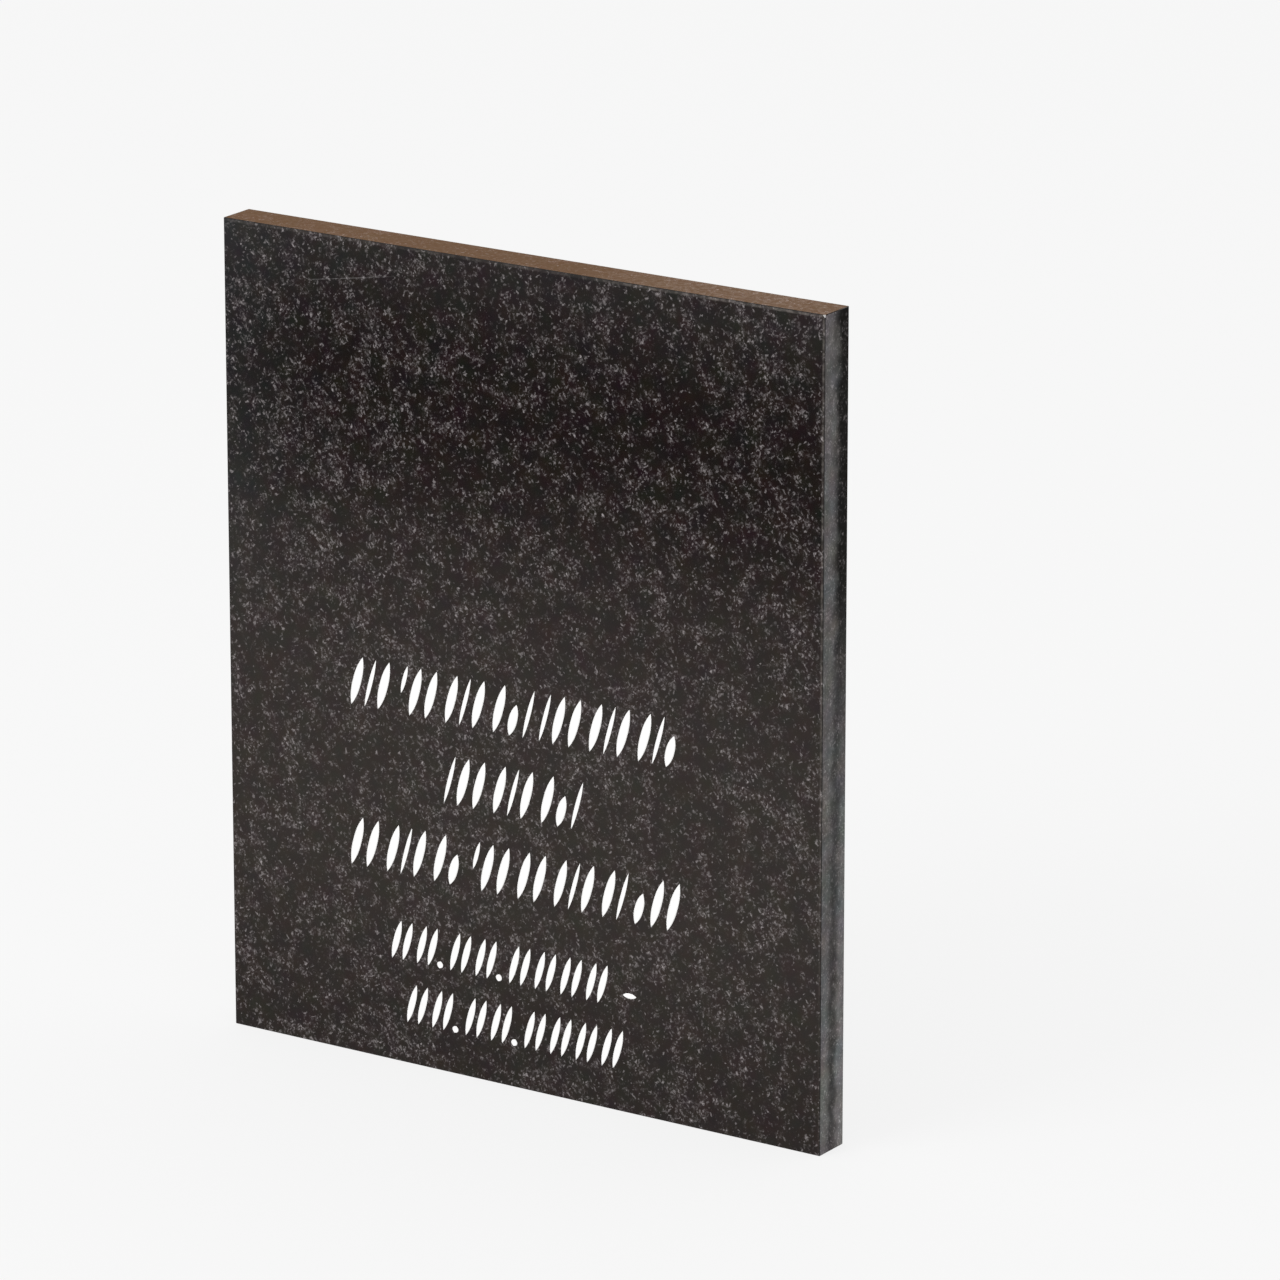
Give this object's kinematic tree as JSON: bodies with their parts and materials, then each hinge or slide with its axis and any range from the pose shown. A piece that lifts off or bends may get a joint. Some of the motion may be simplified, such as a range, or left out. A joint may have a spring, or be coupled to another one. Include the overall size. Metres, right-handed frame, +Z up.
{
  "type": "headstone slab",
  "caption": "Upright rectangular slab of polished black granite that stands on its narrow edge, with a block of shallow painted strokes cut low on its front where an inscription goes.",
  "frame": {"origin": "under the middle of the slab, on the surface that it stands on", "axes": "+X along the slab's width, +Y from its front face to its back, +Z up"},
  "size_m": [0.25, 0.015, 0.3],
  "materials": {
    "granite": "polished",
    "paint": "satin"
  },
  "bodies": {
    "root": {"slab": "granite"}
  },
  "joints": []
}
